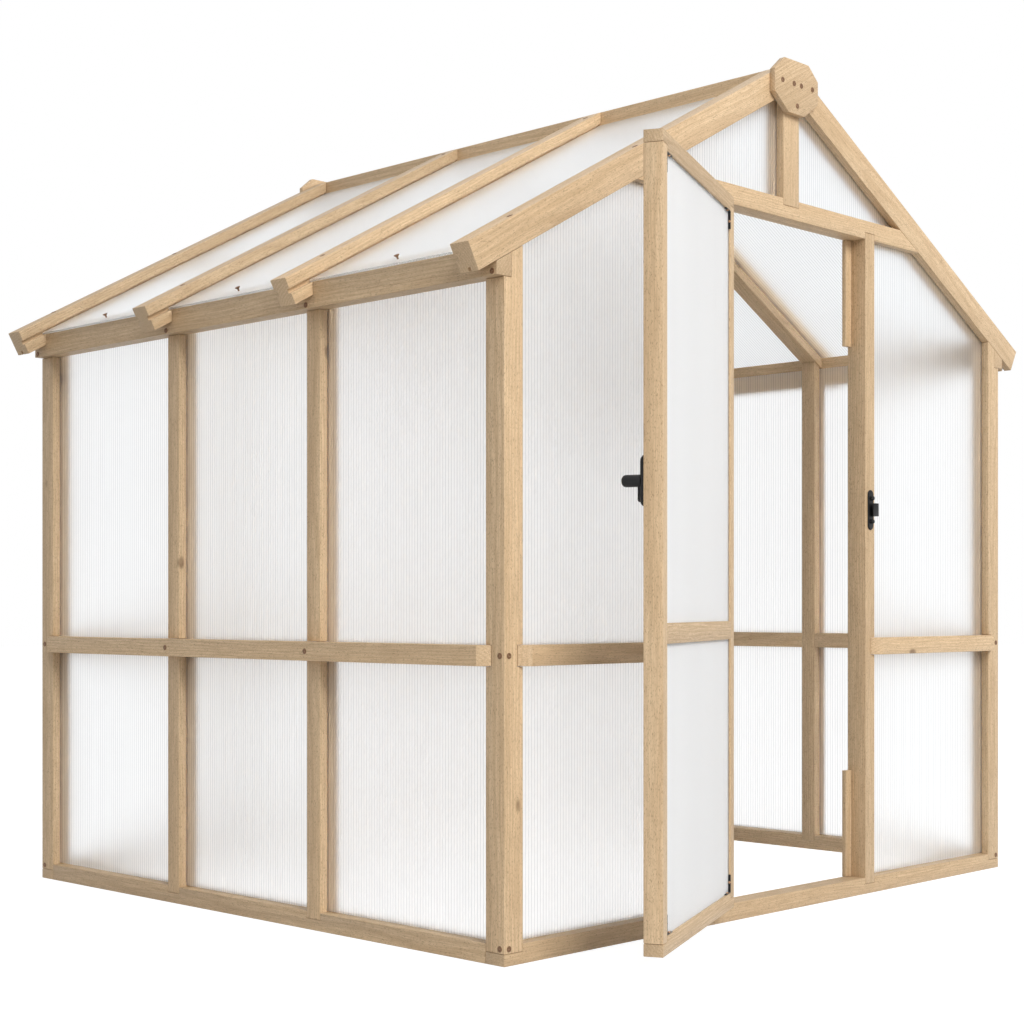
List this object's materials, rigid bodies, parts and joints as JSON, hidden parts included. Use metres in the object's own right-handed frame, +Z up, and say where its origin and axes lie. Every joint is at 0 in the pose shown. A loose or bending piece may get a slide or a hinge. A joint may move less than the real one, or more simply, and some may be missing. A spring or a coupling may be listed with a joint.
{
  "type": "greenhouse",
  "caption": "Gabled timber greenhouse glazed with translucent twin-wall sheets, with an outward opening door, a turn latch, grooved rafters and mid rails outside the glazing.",
  "frame": {"origin": "middle of the front sill's underside", "axes": "+X along the front gable towards the latch jamb, +Y into the greenhouse, +Z up"},
  "size_m": [2.384, 2.3071, 2.2454],
  "materials": {
    "timber": "planed, oiled",
    "glazing": "translucent twin-wall sheet",
    "black_metal": "satin black"
  },
  "bodies": {
    "frame": {"door_jamb_hinge": "timber", "door_jamb_latch": "timber", "door_stops": "timber", "front_king_post": "timber", "front_left_mid_rail": "timber", "front_left_post": "timber", "front_right_mid_rail": "timber", "front_right_post": "timber", "front_sill": "timber", "front_tie_beam": "timber", "front_wall_panels": "glazing", "hinge_frame_leaves": "black_metal", "hinge_pins": "black_metal", "inner_noggings": "timber", "latch_keeper": "black_metal", "left_eave_beam": "timber", "left_front_stud": "timber", "left_mid_rail": "timber", "left_rafter_1": "timber", "left_rafter_2": "timber", "left_rafter_3": "timber", "left_rafter_4": "timber", "left_rear_stud": "timber", "left_roof_panels": "glazing", "left_sill": "timber", "left_wall_panels": "glazing", "rear_king_post": "timber", "rear_left_post": "timber", "rear_left_stud": "timber", "rear_mid_rail": "timber", "rear_right_post": "timber", "rear_right_stud": "timber", "rear_sill": "timber", "rear_tie_beam": "timber", "rear_wall_panels": "glazing", "ridge_board": "timber", "ridge_plates": "timber", "right_eave_beam": "timber", "right_front_stud": "timber", "right_mid_rail": "timber", "right_rafter_1": "timber", "right_rafter_2": "timber", "right_rafter_3": "timber", "right_rafter_4": "timber", "right_rear_stud": "timber", "right_roof_panels": "glazing", "right_sill": "timber", "right_wall_panels": "glazing"},
    "door": {"door_hinge_stile": "timber", "door_latch_stile": "timber", "door_top_rail": "timber", "door_mid_rail": "timber", "door_bottom_rail": "timber", "door_panels": "glazing", "door_corner_braces": "black_metal", "hinge_door_leaves": "black_metal", "latch_plate": "black_metal"},
    "latch": {"latch_knob": "black_metal"}
  },
  "joints": [
    {"name": "door_swing", "type": "hinge", "parent": "frame", "child": "door", "pos_m": [-0.348, -0.04, 0], "axis": [0, 0, 1], "range_deg": [-8, 155]},
    {"name": "latch_turn", "type": "hinge", "parent": "door", "child": "latch", "pos_m": [-0.95644, -0.33475, 1.073], "axis": [-0.4226, 0.9063, 0], "range_deg": [0, 90]}
  ]
}
